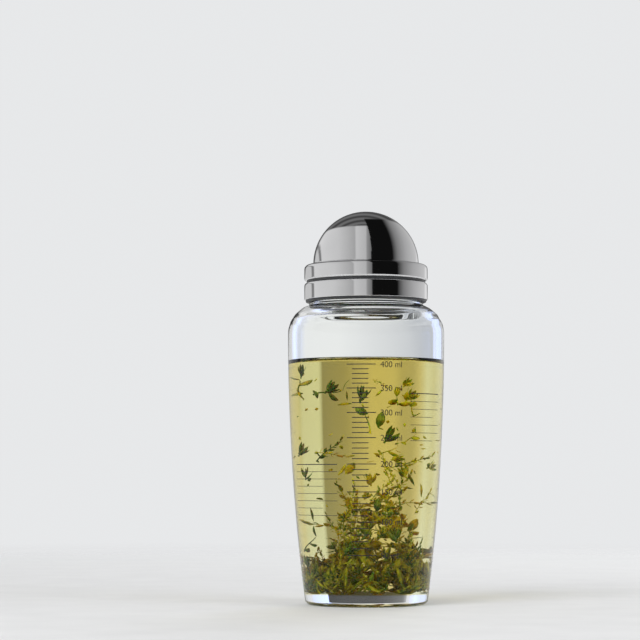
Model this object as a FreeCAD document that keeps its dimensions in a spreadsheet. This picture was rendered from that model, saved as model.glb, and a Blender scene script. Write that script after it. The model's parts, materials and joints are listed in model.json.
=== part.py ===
import FreeCAD, Part
import Sketcher
import math
import os

# Salad dressing shaker: a round glass bottle, a screw collar that clamps a strainer
# onto the rim, and a domed screw cap that seals the pouring lip of the collar.
# Millimetres, +Z up, origin at the middle of the foot.

SIZES = {
    # glass bottle
    "base_radius": (31.7, "side of the bottle, carried down to the table"),
    "body_radius": (40.8, "widest ring of the bottle"),
    "body_height": (140.5, "height of the widest ring"),
    "shoulder_rise": (15.1, "top of the shoulder above the widest ring"),
    "neck_height": (10.4, "glass rim above the top of the shoulder"),
    "neck_radius": (28.9, "outside of the neck, over its thread"),
    "neck_wall": (4.0, "glass of the neck, with its thread"),
    "bead_overhang": (0.9, "bead at the foot of the neck, past the neck"),
    "bead_height": (1.3, "height of that bead"),
    "body_wall": (4.2, "glass at the widest ring"),
    "foot_wall": (4.6, "glass at the floor, from the base radius"),
    "floor_thick": (6.5, "top of the inside floor above the table"),
    "kick_height": (1.6, "hollow under the foot"),
    "stand_width": (7.5, "hollow's edge, in from the base radius"),
    "foot_fillet": (3.2, "outer corner of the foot"),
    "floor_fillet": (6.0, "inner corner of the floor"),
    "throat_drop": (3.0, "throat corner below the top of the shoulder"),
    "throat_fillet": (2.5, "rounding of the throat corner"),
    "rim_fillet": (1.2, "both edges of the glass rim"),
    # what is clamped on the rim
    "seat_setback": (1.3, "edge of gasket and strainer, in from the neck"),
    "rim_gasket_thick": (1.5, "flat gasket on the glass rim"),
    "rim_gasket_inset": (0.4, "its hole, out from the bore of the neck"),
    "strainer_sheet": (0.6, "sheet of the strainer"),
    "dish_setback": (1.0, "edge of the strainer's dish, in from the bore"),
    "dish_depth": (5.4, "depth of the strainer's dish"),
    "hole_radius": (1.4, "strainer holes"),
    "hole_pitch": (5.2, "step from one ring of holes to the next"),
    "hole_margin": (1.0, "least sheet between the outer holes and the flat rim"),
    # screw collar
    "thread_gap": (0.2, "running gap of a threaded pair, and round loose rings"),
    "glue_gap": (0.05, "gap between a steel skin and its plastic insert"),
    "skirt_wall": (2.45, "plastic skirt round the neck"),
    "skirt_show": (1.1, "skirt below the steel sleeve"),
    "sheet": (0.7, "steel sheet of sleeve and cap"),
    "skirt_clear": (0.4, "skirt above the bead of the neck"),
    "collar_round": (1.6, "bend at the top of the sleeve"),
    "ceiling_thick": (1.6, "plastic ring that presses on the strainer"),
    "ledge_depth": (2.3, "top of the flange below the top of that ring"),
    "ledge_width": (1.2, "plastic shoulder inside the steel flange"),
    "rim_clear": (0.3, "insert above the outer edge of the glass rim"),
    "cap_ring_wall": (2.45, "plastic ring of the cap round the spigot"),
    "spigot_wall": (2.5, "wall of the spigot"),
    "spigot_height": (4.3, "spigot above the ring that presses on the strainer"),
    "pour_step": (1.4, "hole of that ring, in from the spigot's bore"),
    "lip_fillet": (0.7, "edges of the pouring lip"),
    # domed cap
    "cap_gasket_thick": (1.2, "flat gasket on the pouring lip"),
    "cap_gasket_inset": (0.9, "its edge, in from the outside of the spigot's thread"),
    "liner_thick": (1.0, "disc that closes the dome"),
    "crown_width": (4.7, "foot of the dome, in from the band"),
    "crown_drop": (0.5, "fall of the crown from the dome to its round edge"),
    "band_round": (2.3, "round edge between crown and band"),
    "hem_gap": (1.1, "open groove between collar and cap"),
    "hem_round": (1.2, "edge of the cap turned in over its insert"),
    "crown_clear": (0.3, "insert below the crown"),
}

# Holes in the innermost ring of the strainer; each further ring has as many more.
FIRST_RING_HOLES = 6

# Lengths that differ by less than this are the same length.
SAME = 0.001

doc = FreeCAD.newDocument("DressingShaker")


class Size:
    """A length in millimetres that also knows the expression it comes from."""

    def __init__(self, value, text):
        self.value = value
        self.text = text

    def combine(self, sign, other, result):
        other = as_size(other)
        return Size(result(self.value, other.value), f"({self.text} {sign} {other.text})")

    def __add__(self, other):
        return self.combine("+", other, lambda a, b: a + b)

    def __sub__(self, other):
        return self.combine("-", other, lambda a, b: a - b)

    def __mul__(self, other):
        return self.combine("*", other, lambda a, b: a * b)

    def __truediv__(self, other):
        return self.combine("/", other, lambda a, b: a / b)


def as_size(number):
    """A plain number as a size, and a size as it is."""
    if isinstance(number, Size):
        return number
    return Size(float(number), repr(number))


def fill_sheet():
    """Write the driving dimensions to a sheet and return them as sizes, by name."""
    sheet = doc.addObject("Spreadsheet::Sheet", "Sizes")
    for row, (name, (value, meaning)) in enumerate(SIZES.items(), start=1):
        sheet.set(f"A{row}", meaning)
        sheet.set(f"B{row}", str(value))
        sheet.setAlias(f"B{row}", name)
    doc.recompute()
    return {name: Size(float(sheet.get(name)), f"Sizes.{name}") for name in SIZES}


class Corner:
    """A corner of an outline, reached by a line or by an arc of a given radius.

    turn is +1 for an arc that bends to the left of the way along the outline and -1 to the right.
    """

    def __init__(self, radius, height, arc=None, turn=0):
        self.radius = as_size(radius)
        self.height = as_size(height)
        self.arc = arc
        self.turn = turn

    def point(self):
        return FreeCAD.Vector(self.radius.value, self.height.value, 0)


def upright_arc(run, rise):
    """Radius of an arc that starts upright and has moved sideways by run after climbing by rise."""
    return (run * run + rise * rise) / (run * 2)


def origin_plane(body, role):
    """One of a body's own origin planes."""
    return next(plane for plane in body.Origin.OriginFeatures if plane.Role == role)


def new_sketch(body, name, role):
    """An empty sketch on one of the body's origin planes."""
    sketch = body.newObject("Sketcher::SketchObject", name)
    sketch.AttachmentSupport = [(origin_plane(body, role), "")]
    sketch.MapMode = "FlatFace"
    return sketch


def bind(sketch, constraint, size):
    """Add a constraint and tie its size to the sheet."""
    index = sketch.addConstraint(constraint)
    sketch.setExpression(f"Constraints[{index}]", size.text)


def segment_between(start, corner):
    """The line or arc that leads from a corner to the next one."""
    begin = start.point()
    end = corner.point()
    if corner.arc is None:
        return Part.LineSegment(begin, end)
    radius = corner.arc.value
    chord = end.sub(begin)
    reach = math.sqrt(max(radius ** 2 - (chord.Length / 2) ** 2, 0.0))
    left = FreeCAD.Vector(-chord.y, chord.x, 0).normalize()
    centre = begin + chord * 0.5 + left * (reach * corner.turn)
    circle = Part.Circle(centre, FreeCAD.Vector(0, 0, 1), radius)
    first, last = (begin, end) if corner.turn > 0 else (end, begin)
    angles = [math.atan2(spot.y - centre.y, spot.x - centre.x) for spot in (first, last)]
    if angles[1] <= angles[0]:
        angles[1] += 2 * math.pi
    return Part.ArcOfCircle(circle, *angles)


def draw_outline(sketch, corners):
    """Draw a closed outline whose every corner and arc is tied to the sheet."""
    count = len(corners)
    ends = []
    for index, corner in enumerate(corners):
        following = corners[(index + 1) % count]
        sketch.addGeometry(segment_between(corner, following), False)
        # a segment's own first point is 1 and its last 2; arcs that bend right run backwards
        ends.append((2, 1) if following.turn < 0 else (1, 2))
    for index, corner in enumerate(corners):
        before = (index - 1) % count
        start = ends[index][0]
        sketch.addConstraint(Sketcher.Constraint("Coincident", before, ends[before][1], index, start))
        if corner.radius.value == 0:
            sketch.addConstraint(Sketcher.Constraint("PointOnObject", index, start, -2))
        else:
            across = Sketcher.Constraint("DistanceX", -1, 1, index, start, corner.radius.value)
            bind(sketch, across, corner.radius)
        if corner.height.value == 0:
            sketch.addConstraint(Sketcher.Constraint("PointOnObject", index, start, -1))
        else:
            up = Sketcher.Constraint("DistanceY", -1, 1, index, start, corner.height.value)
            bind(sketch, up, corner.height)
        if corner.arc is not None:
            bind(sketch, Sketcher.Constraint("Radius", before, corner.arc.value), corner.arc)


def turned_body(name, corners):
    """A body turned about Z from an outline of radius and height."""
    body = doc.addObject("PartDesign::Body", name)
    body.Label = name
    sketch = new_sketch(body, f"{name}_outline", "XZ_Plane")
    draw_outline(sketch, corners)
    turned = body.newObject("PartDesign::Revolution", f"{name}_turned")
    turned.Profile = sketch
    turned.ReferenceAxis = (sketch, ["V_Axis"])
    turned.Angle = 360
    doc.recompute()
    return body


def round_edges(body, name, size, rings):
    """Round the circular edges of a body that lie at the given radius and height."""
    base = body.Tip
    chosen = []
    for radius, height in rings:
        for number, edge in enumerate(base.Shape.Edges, start=1):
            if edge.Degenerated or not isinstance(edge.Curve, Part.Circle):
                continue
            curve = edge.Curve
            if abs(curve.Radius - radius.value) < SAME and abs(curve.Center.z - height.value) < SAME:
                chosen.append(f"Edge{number}")
    fillet = body.newObject("PartDesign::Fillet", name)
    fillet.Base = (base, chosen)
    fillet.setExpression("Radius", size.text)
    doc.recompute()


def share_levels(size):
    """Add the heights and radii that several pieces share."""
    size["shoulder_top"] = size["body_height"] + size["shoulder_rise"]
    size["bead_top"] = size["shoulder_top"] + size["bead_height"]
    size["rim"] = size["shoulder_top"] + size["neck_height"]
    size["gasket_top"] = size["rim"] + size["rim_gasket_thick"]
    size["strainer_top"] = size["gasket_top"] + size["strainer_sheet"]
    size["ceiling_top"] = size["strainer_top"] + size["ceiling_thick"]
    size["collar_top"] = size["ceiling_top"] - size["ledge_depth"]
    size["lip"] = size["ceiling_top"] + size["spigot_height"]
    size["cap_gasket_top"] = size["lip"] + size["cap_gasket_thick"]
    size["liner_top"] = size["cap_gasket_top"] + size["liner_thick"]
    size["crown_edge"] = size["liner_top"] + size["sheet"]
    size["skirt_bottom"] = size["bead_top"] + size["skirt_clear"]
    size["bore"] = size["neck_radius"] - size["neck_wall"]
    size["seat_radius"] = size["neck_radius"] - size["seat_setback"]
    size["skirt_radius"] = size["neck_radius"] + size["thread_gap"] + size["skirt_wall"]
    size["band_radius"] = size["skirt_radius"] + size["glue_gap"] + size["sheet"]
    size["spigot_radius"] = size["skirt_radius"] - size["cap_ring_wall"] - size["thread_gap"]
    size["spout_radius"] = size["spigot_radius"] - size["spigot_wall"]
    size["ledge_radius"] = size["spigot_radius"] + size["ledge_width"]
    size["hem_radius"] = size["band_radius"] - size["hem_round"]
    size["hem"] = size["collar_top"] + size["hem_gap"]
    size["hem_edge"] = size["hem"] + size["hem_round"]
    size["band_edge"] = size["crown_edge"] - size["band_round"]


def make_bottle(size):
    """Glass bottle: an arched side, a round shoulder, a short neck and a thick foot."""
    bead_radius = size["neck_radius"] + size["bead_overhang"]
    inner_radius = size["body_radius"] - size["body_wall"]
    floor_radius = size["base_radius"] - size["foot_wall"]
    stand_radius = size["base_radius"] - size["stand_width"]
    throat = size["shoulder_top"] - size["throat_drop"]
    kick = upright_arc(size["kick_height"], stand_radius)
    side = upright_arc(size["body_radius"] - size["base_radius"], size["body_height"])
    shoulder = upright_arc(size["body_radius"] - bead_radius, size["shoulder_rise"])
    inner_side = upright_arc(inner_radius - floor_radius, size["body_height"] - size["floor_thick"])
    inner_shoulder = upright_arc(inner_radius - size["bore"], throat - size["body_height"])
    body = turned_body("glass_bottle", [
        Corner(0, size["kick_height"]),
        Corner(stand_radius, 0, kick, -1),
        Corner(size["base_radius"], 0),
        Corner(size["body_radius"], size["body_height"], side, 1),
        Corner(bead_radius, size["shoulder_top"], shoulder, 1),
        Corner(bead_radius, size["bead_top"]),
        Corner(size["neck_radius"], size["bead_top"]),
        Corner(size["neck_radius"], size["rim"]),
        Corner(size["bore"], size["rim"]),
        Corner(size["bore"], throat),
        Corner(inner_radius, size["body_height"], inner_shoulder, -1),
        Corner(floor_radius, size["floor_thick"], inner_side, -1),
        Corner(0, size["floor_thick"]),
    ])
    round_edges(body, "foot_rounded", size["foot_fillet"], [(size["base_radius"], as_size(0))])
    round_edges(body, "floor_rounded", size["floor_fillet"], [(floor_radius, size["floor_thick"])])
    round_edges(body, "throat_rounded", size["throat_fillet"], [(size["bore"], throat)])
    round_edges(body, "rim_rounded", size["rim_fillet"], [
        (size["neck_radius"], size["rim"]),
        (size["bore"], size["rim"]),
    ])
    return body


def flat_ring(name, inner, outer, bottom, thick):
    """A flat ring of square section."""
    return turned_body(name, [
        Corner(inner, bottom),
        Corner(outer, bottom),
        Corner(outer, bottom + thick),
        Corner(inner, bottom + thick),
    ])


def bore_holes(body, name, size, ring_radius, count):
    """Bore one ring of strainer holes straight through the dish."""
    sketch = new_sketch(body, f"{name}_circle", "XY_Plane")
    circle = Part.Circle(FreeCAD.Vector(ring_radius.value, 0, 0), FreeCAD.Vector(0, 0, 1),
                         size["hole_radius"].value)
    sketch.addGeometry(circle, False)
    sketch.addConstraint(Sketcher.Constraint("PointOnObject", 0, 3, -1))
    if ring_radius.value == 0:
        sketch.addConstraint(Sketcher.Constraint("PointOnObject", 0, 3, -2))
    else:
        bind(sketch, Sketcher.Constraint("DistanceX", -1, 1, 0, 3, ring_radius.value), ring_radius)
    bind(sketch, Sketcher.Constraint("Radius", 0, size["hole_radius"].value), size["hole_radius"])
    before = body.Shape.Volume
    pocket = body.newObject("PartDesign::Pocket", name)
    pocket.Profile = sketch
    pocket.Type = "ThroughAll"
    pocket.Reversed = True
    doc.recompute()
    if not body.Shape.Volume < before:
        raise RuntimeError(f"{name} cuts nothing")
    if count > 1:
        pattern = body.newObject("PartDesign::PolarPattern", f"{name}_ring")
        pattern.Originals = [pocket]
        pattern.Axis = (sketch, ["N_Axis"])
        pattern.Angle = 360
        pattern.Occurrences = count
        body.Tip = pattern
        doc.recompute()


def make_strainer(size):
    """Steel strainer: a flat rim that is clamped on the gasket and a perforated dish in the neck."""
    seat = size["gasket_top"]
    top = size["strainer_top"]
    dish_radius = size["bore"] - size["dish_setback"]
    bottom = upright_arc(size["dish_depth"], dish_radius)
    body = turned_body("strainer", [
        Corner(0, seat - size["dish_depth"]),
        Corner(dish_radius, seat, bottom, 1),
        Corner(size["seat_radius"], seat),
        Corner(size["seat_radius"], top),
        Corner(dish_radius, top),
        Corner(0, top - size["dish_depth"], bottom, -1),
    ])
    bore_holes(body, "centre_hole", size, as_size(0), 1)
    outermost = dish_radius - size["hole_margin"] - size["hole_radius"]
    rings = math.floor(outermost.value / size["hole_pitch"].value)
    for ring in range(1, rings + 1):
        bore_holes(body, f"holes_{ring}", size, size["hole_pitch"] * ring, ring * FIRST_RING_HOLES)
    return body


def make_collar_sleeve(size):
    """Polished steel sleeve of the collar, bent in at the top to a flange that carries the cap."""
    outer = size["band_radius"]
    top = size["collar_top"]
    inner = outer - size["sheet"]
    under = top - size["sheet"]
    bottom = size["skirt_bottom"] + size["skirt_show"]
    bend = top - size["collar_round"]
    flange = size["ledge_radius"] + size["glue_gap"]
    inner_round = size["collar_round"] - size["sheet"]
    return turned_body("collar_sleeve", [
        Corner(inner, bottom),
        Corner(outer, bottom),
        Corner(outer, bend),
        Corner(outer - size["collar_round"], top, size["collar_round"], 1),
        Corner(flange, top),
        Corner(flange, under),
        Corner(outer - size["collar_round"], under),
        Corner(inner, bend, inner_round, -1),
    ])


def make_collar_insert(size):
    """Plastic core of the collar: skirt round the neck, clamping ring, and spigot with pouring lip."""
    neck = size["neck_radius"] + size["thread_gap"]
    skirt = size["skirt_radius"]
    under_flange = size["collar_top"] - size["sheet"] - size["glue_gap"]
    bend = size["collar_top"] - size["collar_round"]
    pocket = size["seat_radius"] + size["thread_gap"]
    pocket_bottom = size["rim"] + size["rim_clear"]
    pour_radius = size["spout_radius"] - size["pour_step"]
    body = turned_body("collar_insert", [
        Corner(neck, size["skirt_bottom"]),
        Corner(skirt, size["skirt_bottom"]),
        Corner(skirt, bend),
        Corner(skirt - size["collar_round"] + size["sheet"], under_flange),
        Corner(size["ledge_radius"], under_flange),
        Corner(size["ledge_radius"], size["collar_top"]),
        Corner(size["spigot_radius"], size["collar_top"]),
        Corner(size["spigot_radius"], size["lip"]),
        Corner(size["spout_radius"], size["lip"]),
        Corner(size["spout_radius"], size["ceiling_top"]),
        Corner(pour_radius, size["ceiling_top"]),
        Corner(pour_radius, size["strainer_top"]),
        Corner(pocket, size["strainer_top"]),
        Corner(pocket, pocket_bottom),
        Corner(neck, pocket_bottom),
    ])
    round_edges(body, "lip_rounded", size["lip_fillet"], [
        (size["spigot_radius"], size["lip"]),
        (size["spout_radius"], size["lip"]),
    ])
    return body


def make_cap_liner(size):
    """Plastic disc that the crown of the cap presses on the gasket of the lip."""
    return turned_body("cap_liner", [
        Corner(0, size["cap_gasket_top"]),
        Corner(size["spigot_radius"], size["cap_gasket_top"]),
        Corner(size["spigot_radius"], size["liner_top"]),
        Corner(0, size["liner_top"]),
    ])


def make_cap_insert(size):
    """Plastic ring inside the band of the cap, whose thread runs on the spigot."""
    ring_bore = size["spigot_radius"] + size["thread_gap"]
    foot_radius = size["hem_radius"] - size["glue_gap"]
    step = size["hem_edge"] + size["glue_gap"]
    top = size["crown_edge"] - size["sheet"] - size["crown_clear"]
    edge = size["band_edge"]
    return turned_body("cap_insert", [
        Corner(ring_bore, size["collar_top"]),
        Corner(foot_radius, size["collar_top"]),
        Corner(foot_radius, step),
        Corner(size["skirt_radius"], step),
        Corner(size["skirt_radius"], edge),
        Corner(size["skirt_radius"] - (top - edge), top),
        Corner(ring_bore, top),
    ])


def make_cap_shell(size):
    """Polished steel cap, drawn from one sheet: dome, narrow crown, band and turned-in hem."""
    outer = size["band_radius"]
    inner = outer - size["sheet"]
    dome = outer - size["crown_width"]
    inner_dome = dome - size["sheet"]
    crown_top = size["crown_edge"] + size["crown_drop"]
    crown_radius = outer - size["band_round"]
    inner_round = size["band_round"] - size["sheet"]
    inner_hem = size["hem_round"] - size["sheet"]
    return turned_body("cap_shell", [
        Corner(size["hem_radius"], size["hem"]),
        Corner(outer, size["hem_edge"], size["hem_round"], 1),
        Corner(outer, size["band_edge"]),
        Corner(crown_radius, size["crown_edge"], size["band_round"], 1),
        Corner(dome, crown_top),
        Corner(0, crown_top + dome, dome, 1),
        Corner(0, crown_top + inner_dome),
        Corner(inner_dome, crown_top, inner_dome, -1),
        Corner(inner_dome, crown_top - size["sheet"]),
        Corner(crown_radius, size["crown_edge"] - size["sheet"]),
        Corner(inner, size["band_edge"], inner_round, -1),
        Corner(inner, size["hem_edge"]),
        Corner(size["hem_radius"], size["hem"] + size["sheet"], inner_hem, -1),
    ])


def make_shaker(size):
    """Every piece of the shaker, stacked from the glass rim to the dome."""
    share_levels(size)
    return [
        make_bottle(size),
        flat_ring("rim_gasket", size["bore"] + size["rim_gasket_inset"], size["seat_radius"],
                  size["rim"], size["rim_gasket_thick"]),
        make_strainer(size),
        make_collar_sleeve(size),
        make_collar_insert(size),
        flat_ring("cap_gasket", size["spout_radius"], size["spigot_radius"] - size["cap_gasket_inset"],
                  size["lip"], size["cap_gasket_thick"]),
        make_cap_liner(size),
        make_cap_insert(size),
        make_cap_shell(size),
    ]


def check_document(pieces):
    """Stop if any object failed or any piece has no sound solid."""
    for item in doc.Objects:
        if "Invalid" in item.State or "Error" in item.State:
            raise RuntimeError(f"{item.Name} failed: {item.State}")
    for piece in pieces:
        if piece.Shape.isNull() or not piece.Shape.isValid() or len(piece.Shape.Solids) != 1:
            raise RuntimeError(f"{piece.Label} has no sound solid")


def write_pieces(pieces):
    """Write each piece to a file of its own name."""
    os.makedirs("parts", exist_ok=True)
    for piece in pieces:
        piece.Shape.exportStep(f"parts/{piece.Label}.step")
        box = piece.Shape.BoundBox
        print(f"{piece.Label}: {piece.Shape.Volume:.1f} mm3, {box.ZMin:.2f} to {box.ZMax:.2f} mm")


shaker = make_shaker(fill_sheet())
doc.recompute()
check_document(shaker)
write_pieces(shaker)
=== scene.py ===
# %% [markdown]
# # A salad dressing shaker
# A thick glass bottle with a printed volume scale, a screw collar that clamps a strainer onto its rim, and a
# domed screw cap. Nearly every piece is round, so the lesson is mostly about outlines turned about one axis,
# and about glass, mirror steel and dressing as materials.
#
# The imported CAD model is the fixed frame. Everything is in metres, with +Z up and the front towards -Y.

# %% Load the frame
import json
import math
import random

import bmesh
import bpy
from mathutils import Matrix, Vector, noise

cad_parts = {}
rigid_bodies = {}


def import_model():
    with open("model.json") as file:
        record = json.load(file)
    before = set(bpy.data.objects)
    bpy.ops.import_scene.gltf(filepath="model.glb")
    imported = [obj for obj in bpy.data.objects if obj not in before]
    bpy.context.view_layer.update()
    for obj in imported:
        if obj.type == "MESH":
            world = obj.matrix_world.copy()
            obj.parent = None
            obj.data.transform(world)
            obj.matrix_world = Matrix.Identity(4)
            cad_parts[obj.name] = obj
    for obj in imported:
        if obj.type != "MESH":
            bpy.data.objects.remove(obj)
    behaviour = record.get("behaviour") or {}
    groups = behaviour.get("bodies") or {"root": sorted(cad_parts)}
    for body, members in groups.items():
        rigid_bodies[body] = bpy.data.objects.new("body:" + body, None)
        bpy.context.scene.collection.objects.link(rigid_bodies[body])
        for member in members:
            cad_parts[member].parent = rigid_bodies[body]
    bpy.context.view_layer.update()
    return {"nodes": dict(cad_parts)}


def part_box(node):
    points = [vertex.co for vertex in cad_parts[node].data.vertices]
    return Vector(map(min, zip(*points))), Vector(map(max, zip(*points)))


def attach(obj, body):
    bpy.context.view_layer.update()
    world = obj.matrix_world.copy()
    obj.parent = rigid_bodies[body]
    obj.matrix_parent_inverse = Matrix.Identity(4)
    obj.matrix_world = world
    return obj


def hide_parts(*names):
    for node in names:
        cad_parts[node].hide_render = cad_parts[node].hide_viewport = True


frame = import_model()
MM = 0.001
TINY = 0.01 * MM
scene = bpy.context.scene


def linked(name, data):
    """A new object in the scene."""
    thing = bpy.data.objects.new(name, data)
    scene.collection.objects.link(thing)
    return thing


# %% [markdown]
# ## Camera
# The bottle stands a little right of the middle and fills the lower two thirds of the picture. It is seen
# from about a third of its height, so the cap's rings arch upwards and the foot curves downwards. A long lens
# from 1.2 m away keeps the sides nearly parallel. The camera is aimed past the bottle, not shifted, because a
# shift would follow it into every other view.

# %% Camera
EYE = (0.0, -1.190, 0.067)
LENS_ANGLE = math.radians(16.0)
AIM_LEFT = math.radians(1.16)
AIM_UP = math.radians(3.90)

camera = linked("camera", bpy.data.cameras.new("camera"))
camera.data.sensor_width = 36.0
camera.data.lens = camera.data.sensor_width / 2 / math.tan(LENS_ANGLE / 2)
camera.location = EYE
camera.rotation_euler = (math.pi / 2 + AIM_UP, 0.0, AIM_LEFT)
scene.camera = camera
print("lens:", round(camera.data.lens), "mm")

# %% [markdown]
# ## Sizes
# The frame gives the outer sizes of every CAD node. What a box can't show, such as walls and inner fillets,
# is written here once, with the same meaning as in the CAD model.

# %% Sizes
glass_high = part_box("glass_bottle")[1]
sleeve_low, sleeve_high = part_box("collar_sleeve")
insert_low, insert_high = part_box("collar_insert")
ring_low, ring_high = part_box("cap_insert")
shell_low, shell_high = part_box("cap_shell")
spigot_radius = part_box("cap_liner")[1].x
strainer_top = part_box("strainer")[1].z

BODY_RADIUS = glass_high.x
RIM = glass_high.z
BASE_RADIUS = 31.7 * MM
BODY_HEIGHT = 140.5 * MM
SHOULDER_TOP = 155.6 * MM
NECK_RADIUS = 28.9 * MM
NECK_WALL = 4.0 * MM
BEAD_RADIUS = 29.8 * MM
BEAD_TOP = 156.9 * MM
BODY_WALL = 4.2 * MM
FOOT_WALL = 4.6 * MM
FLOOR = 6.5 * MM
KICK = 1.6 * MM
STAND_RADIUS = 24.2 * MM
THROAT = 152.6 * MM
SHEET = 0.7 * MM
THREAD_GAP = 0.2 * MM
print("bottle:", round(2 * BODY_RADIUS / MM, 1), "mm wide,", round(RIM / MM, 1), "mm to the rim")

# %% [markdown]
# ## Outlines and turning
# A lathe shape is an outline of radius and height, turned about Z. A Screw modifier or Spin could turn it,
# but both leave a seam and poles to mend. Here each point becomes a ring, and a point on the axis one vertex,
# so the mesh is closed from the start. An outline runs with the material on its left, which makes all faces
# point outwards.

# %% Outline helpers
def upright_arc(run, rise):
    """Radius of an arc that starts upright and has moved sideways by run after climbing by rise."""
    return (run * run + rise * rise) / (2 * run)


def outline(start, *moves):
    """Points along lines and arcs; a move is x, y, a radius (0: straight, minus: bends right) and steps."""
    points = [Vector(start)]
    for x, y, radius, steps in ((*move, 0.0, 1)[:4] for move in moves):
        start, end = points[-1], Vector((x, y))
        shares = [step / steps for step in range(1, steps + 1)]
        if not radius:
            points += [start.lerp(end, share) for share in shares]
            continue
        chord = end - start
        left = Vector((-chord.y, chord.x)).normalized()
        rise = math.sqrt(max(radius ** 2 - chord.length_squared / 4, 0.0))
        centre = start + chord / 2 + left * math.copysign(rise, radius)
        sweep = 2 * math.asin(max(min(chord.length / (2 * radius), 1.0), -1.0))
        points += [centre + Matrix.Rotation(sweep * share, 2) @ (start - centre) for share in shares]
    return points


def rounded(points, *corners, steps=7):
    """The outline with arcs in place of some corners, each given as (place, radius)."""
    for spot, radius in corners:
        corner = min(points, key=lambda point: (point - Vector(spot)).length)
        at = points.index(corner)
        into = (corner - points[at - 1]).normalized()
        out = (points[(at + 1) % len(points)] - corner).normalized()
        turn = math.atan2(into.x * out.y - into.y * out.x, into.dot(out))
        reach = radius * math.tan(abs(turn) / 2)
        centre = corner - into * reach + Vector((-into.y, into.x)) * math.copysign(radius, turn)
        spoke = corner - into * reach - centre
        bend = [centre + Matrix.Rotation(turn * step / steps, 2) @ spoke for step in range(steps + 1)]
        before = [point for point in points[:at] if (point - corner).length > reach]
        after = [point for point in points[at + 1:] if (point - corner).length > reach]
        points = before + bend + after
    return points


def between(stops, where):
    """The value at a place on straight lines between (place, value) pairs."""
    for (low, first), (high, second) in zip(stops, stops[1:]):
        if where <= high:
            share = min(max((where - low) / (high - low), 0.0), 1.0)
            return first + (second - first) * share
    return stops[-1][1]


print("outline helpers ready")

# %% Turning helper
SEGMENTS = 192
CREASE = math.radians(35)
ON_AXIS = 1e-7


def mesh_of(name, verts, faces=()):
    mesh = bpy.data.meshes.new(name)
    mesh.from_pydata(verts, [], faces)
    return mesh


def turned(name, points, closed=False, segments=SEGMENTS, swell=None):
    """A mesh turned about Z; swell may move a point of the outline by its angle."""
    verts, faces, rings = [], [], []
    for point in points:
        if point.x < ON_AXIS:
            rings.append([len(verts)] * segments)
            verts.append((0.0, 0.0, point.y))
            continue
        rings.append(range(len(verts), len(verts) + segments))
        for step in range(segments):
            angle = 2 * math.pi * step / segments
            radius, height = swell(point, angle) if swell else point
            verts.append((radius * math.cos(angle), radius * math.sin(angle), height))
    for low, high in zip(rings, rings[1:] + rings[:1] if closed else rings[1:]):
        for step in range(segments):
            after = (step + 1) % segments
            corners = tuple(dict.fromkeys((low[step], low[after], high[after], high[step])))
            if len(corners) > 2:
                faces.append(corners)
    mesh = mesh_of(name, verts, faces)
    mesh.validate()
    mesh.shade_smooth()
    mesh.set_sharp_from_angle(angle=CREASE)
    return mesh


def place(name, mesh, material, body, node=None):
    """Make a finished piece of a mesh: it rides on a body and may stand for a CAD node."""
    piece = linked(name, mesh)
    mesh.materials.clear()
    mesh.materials.append(material)
    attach(piece, body)
    if node:
        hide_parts(node)
    print(name, "has", len(mesh.polygons), "faces and rides on", body)
    return piece


# %% [markdown]
# ## Material helpers
# All finishes are node trees. Small helpers add a node, set its constants and link its inputs, so that each
# material reads as a list of what it is made of. Patterns use Object coordinates, which stay with the piece,
# because every finished piece sits at the origin.

# %% Node helpers
def add(tree, kind, inputs=None, output=0, **settings):
    """Add a node and return one of its outputs; inputs are constants or sockets, by name or number."""
    node = tree.nodes.new(kind)
    for key, value in settings.items():
        setattr(node, key, value)
    for key, value in (inputs or {}).items():
        if isinstance(value, bpy.types.NodeSocket):
            tree.links.new(value, node.inputs[key])
        else:
            node.inputs[key].default_value = value
    return node.outputs[output] if node.outputs else None


def plug(node, **sockets):
    """Link sockets to inputs of a node that is already there."""
    for key, socket in sockets.items():
        node.id_data.links.new(socket, node.inputs[key.replace("_", " ")])


def object_place(tree):
    return add(tree, "ShaderNodeTexCoord", output="Object")


def object_noise(tree, scale, detail=3.0, stretch=(1.0, 1.0, 1.0)):
    """Noise that stays with the piece, with scale in patches per metre."""
    mapped = add(tree, "ShaderNodeMapping", {"Vector": object_place(tree), "Scale": stretch})
    return add(tree, "ShaderNodeTexNoise", {"Vector": mapped, "Scale": scale, "Detail": detail}, "Fac")


def ramp(tree, factor, *stops):
    """A colour ramp; stops are (place, colour) pairs from low to high."""
    colour = add(tree, "ShaderNodeValToRGB", {"Fac": factor}, "Color")
    elements = colour.node.color_ramp.elements
    while len(elements) < len(stops):
        elements.new(0.5)
    for element, (where, shade) in zip(elements, stops):
        element.position = where
        element.color = (*shade, 1.0)
    return colour


def spread(tree, value, low, high, start=0.0, end=1.0, **settings):
    """A value that runs from start to end, spread from low to high."""
    return add(tree, "ShaderNodeMapRange", {
        "Value": value, "From Min": start, "From Max": end, "To Min": low, "To Max": high}, **settings)


def bump(tree, height, strength, depth):
    """Let a height pattern tilt the surface, with depth in metres."""
    return add(tree, "ShaderNodeBump", {"Height": height, "Strength": strength, "Distance": depth})


print("node helpers ready")

# %% Finish helpers
WHITE = (1.0, 1.0, 1.0)


def finish_named(name, **constants):
    """A new material with its Principled shader's constants set; returns material, tree and shader."""
    material = bpy.data.materials.new(name)
    material.use_nodes = True
    shader = material.node_tree.nodes["Principled BSDF"]
    for key, value in constants.items():
        shader.inputs[key.replace("_", " ")].default_value = value
    print("finish:", name)
    return material, material.node_tree, shader


def see_through(tree, shader, share, tint=WHITE):
    """Let a share of the rays go straight through a surface."""
    clear = add(tree, "ShaderNodeBsdfTransparent", {"Color": (*tint, 1.0)})
    mix = add(tree, "ShaderNodeMixShader", {0: share, 1: shader.outputs[0], 2: clear})
    plug(tree.nodes["Material Output"], Surface=mix)


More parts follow.
